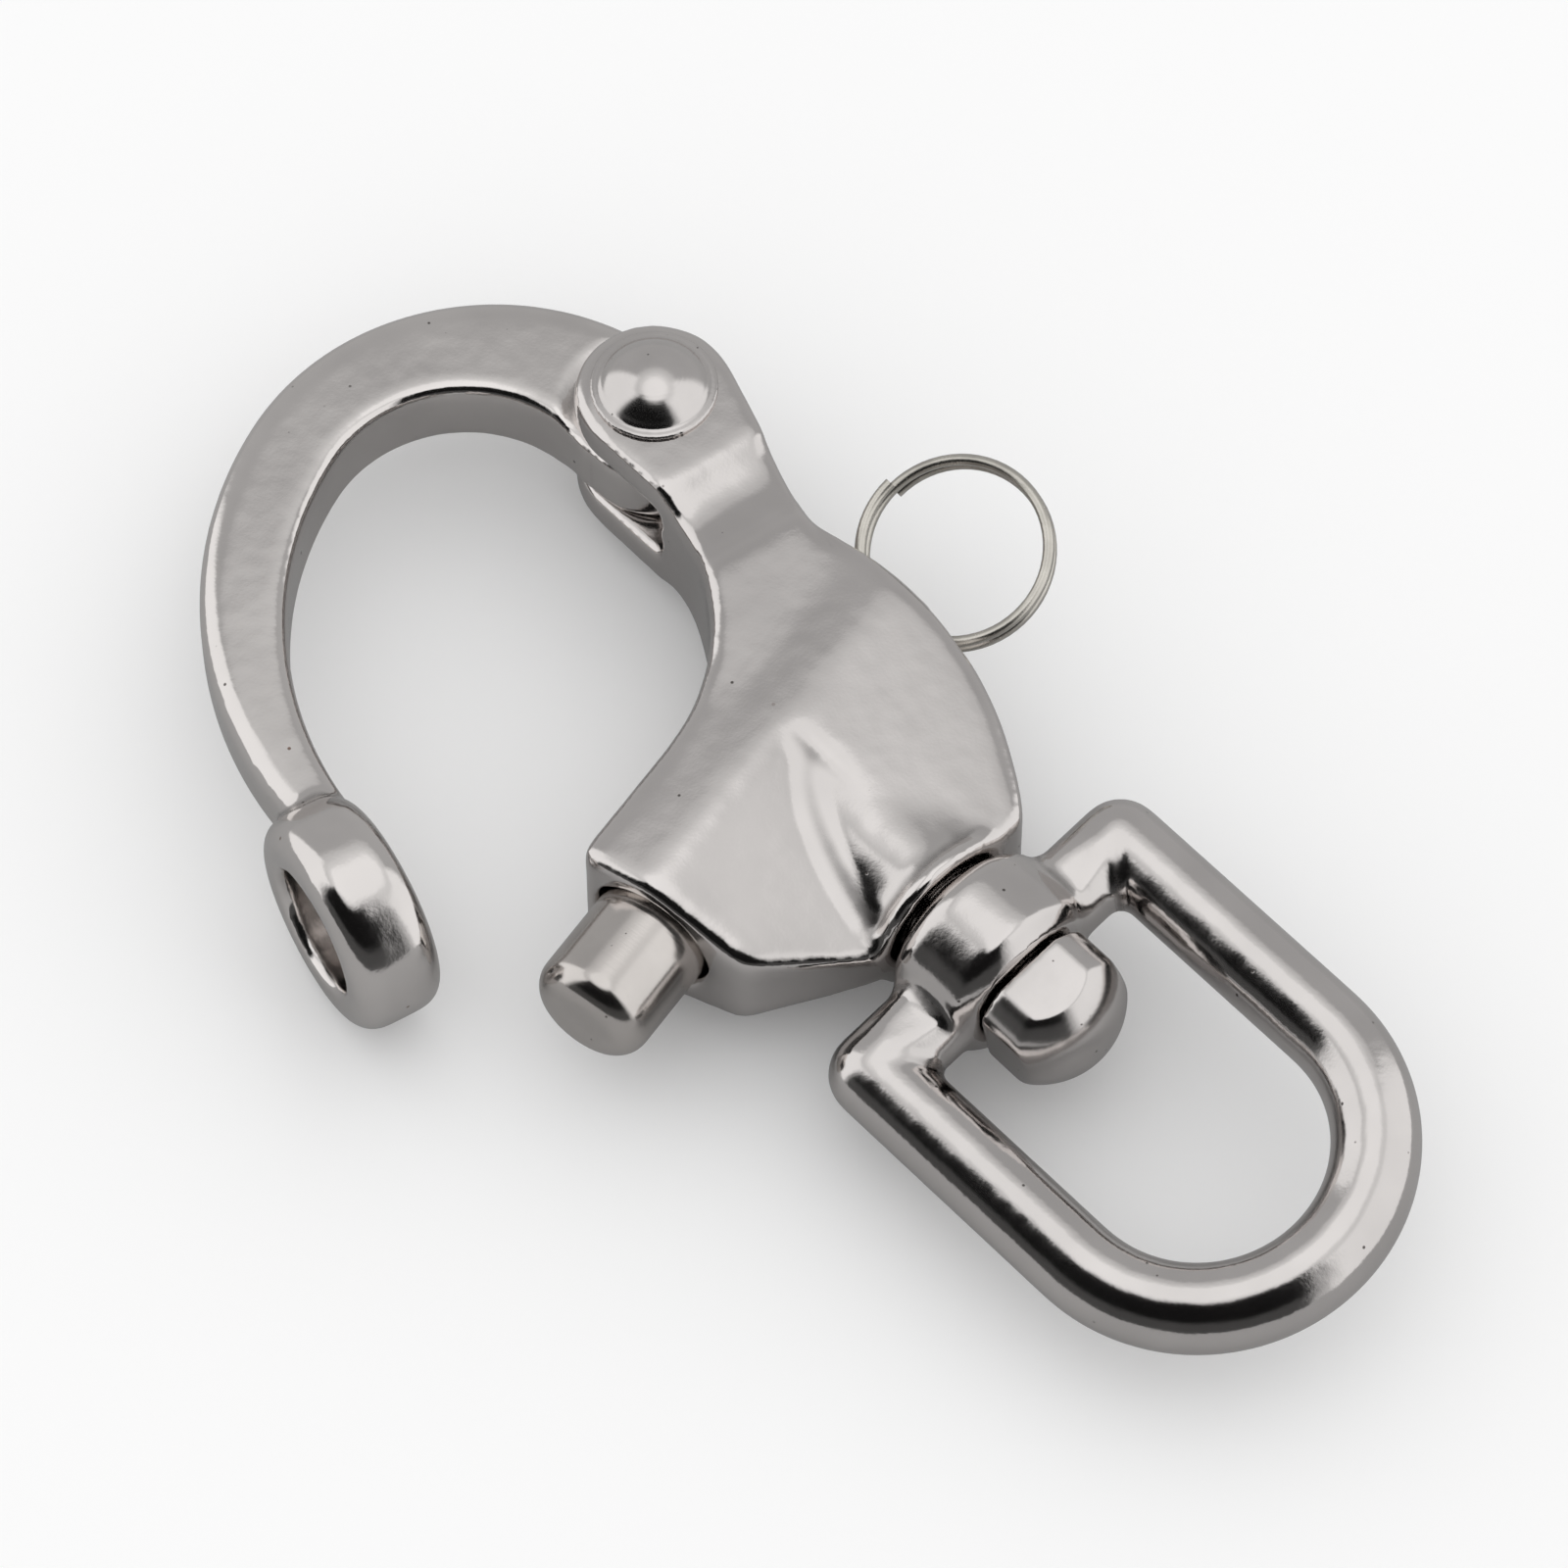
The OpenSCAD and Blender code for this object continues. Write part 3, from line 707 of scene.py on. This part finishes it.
# %% [markdown]
# ## Split ring
# The pull ring is a split ring as on a bunch of keys: two turns of wire, threaded through the cross
# hole in the plunger's tail, with its ends at one side. The tree's result is made a plain mesh, and
# the mesh is then put in place, because a finished piece has its place in its mesh. The turns spread
# away from the body, so that the ring can swing up without meeting it.

# %% Split ring
CROSS = Vector((-0.0536, 0.0, 0.0))
ON_PLUNGER = Matrix.Translation(CROSS) @ Matrix.Rotation(PLUNGER_SLANT, 4, "Z")
RING_R = 0.00875
RING_WIRE = 0.0011
RING_TURNS = 2.0
RING_PITCH = 0.00122
RING_GAPE = 0.0014
RING_HOLE = 0.018018
RING_LIFT = radians(20.0)
RING_LEAN = radians(-5.0)
RING_START = 170.0
RING_HOLD = (270.0 - RING_START) / 360.0
RING_PASS = RING_HOLD + 0.5


def coil_mesh(tree, name, sizes, place):
    carrier = bpy.data.objects.new(name, bpy.data.meshes.new(name))
    scene.collection.objects.link(carrier)
    modifier = carrier.modifiers.new("coil", "NODES")
    modifier.node_group = tree
    for item in tree.interface.items_tree:
        if item.in_out == "INPUT":
            modifier[item.identifier] = sizes[item.name]
    wound = carrier.evaluated_get(bpy.context.evaluated_depsgraph_get())
    mesh = bpy.data.meshes.new_from_object(wound)
    carrier.modifiers.remove(modifier)
    mesh.transform(place)
    carrier.data = mesh
    print(name, len(mesh.polygons), "faces")
    return carrier


ring_place = ON_PLUNGER @ Matrix.Translation((0.0, RING_HOLE, 0.0)) @ Matrix.Rotation(RING_LIFT, 4, "X")
ring_place = ring_place @ Matrix.Rotation(RING_LEAN, 4, "Z")
ring_place = ring_place @ Matrix.Translation((0.0, RING_R, -RING_PASS * RING_PITCH))
ring_place = ring_place @ Matrix.Rotation(radians(RING_START), 4, "Z")
ring = coil_mesh(coil, "split_ring", {
    "Radius": RING_R, "Wire": RING_WIRE, "Turns": RING_TURNS, "Rise": RING_TURNS * RING_PITCH,
    "Gape": RING_GAPE, "Hold": RING_HOLD, "Flat ends": 0.0, "Finish": wire}, ring_place)
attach(ring, "pull_ring")
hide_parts("pull_ring")

# %% [markdown]
# ## Spring
# Inside the housing a coil spring pushes the plunger out. It stands round the stem, between the
# plunger's shoulder and the end of the bore. When the plunger is drawn back, the real spring shortens
# towards the end of the bore by the plunger's whole travel; here it is one fixed mesh on the housing.

# %% Spring
SPRING_R = 0.0051
SPRING_WIRE = 0.0012
SPRING_TURNS = 6.0
SPRING_FLAT = 0.68
SPRING_L = 0.0188
SHOULDER = -0.0085
END_GAP = 0.0003
SPRING_FRONT = SHOULDER + END_GAP

spring_place = ON_PLUNGER @ Matrix.Translation((0.0, SPRING_FRONT + SPRING_WIRE / 2, 0.0))
spring_place = spring_place @ Matrix.Rotation(radians(-90.0), 4, "X")
spring = coil_mesh(coil, "plunger_coil", {
    "Radius": SPRING_R, "Wire": SPRING_WIRE, "Turns": SPRING_TURNS, "Rise": SPRING_L - SPRING_WIRE,
    "Gape": 0.0, "Hold": 0.0, "Flat ends": SPRING_FLAT, "Finish": wire}, spring_place)
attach(spring, "housing")
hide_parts("plunger_spring")
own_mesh(spring)

# %% [markdown]
# ## Measure
# The dressed model is meant to fill the same box as the solids, so both boxes are printed.

# %% Finish
shown_box = [list(corner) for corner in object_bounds()]
for name, box in (("solids", solid_box), ("shown", shown_box)):
    print(name, [[round(1000 * c, 2) for c in corner] for corner in box])
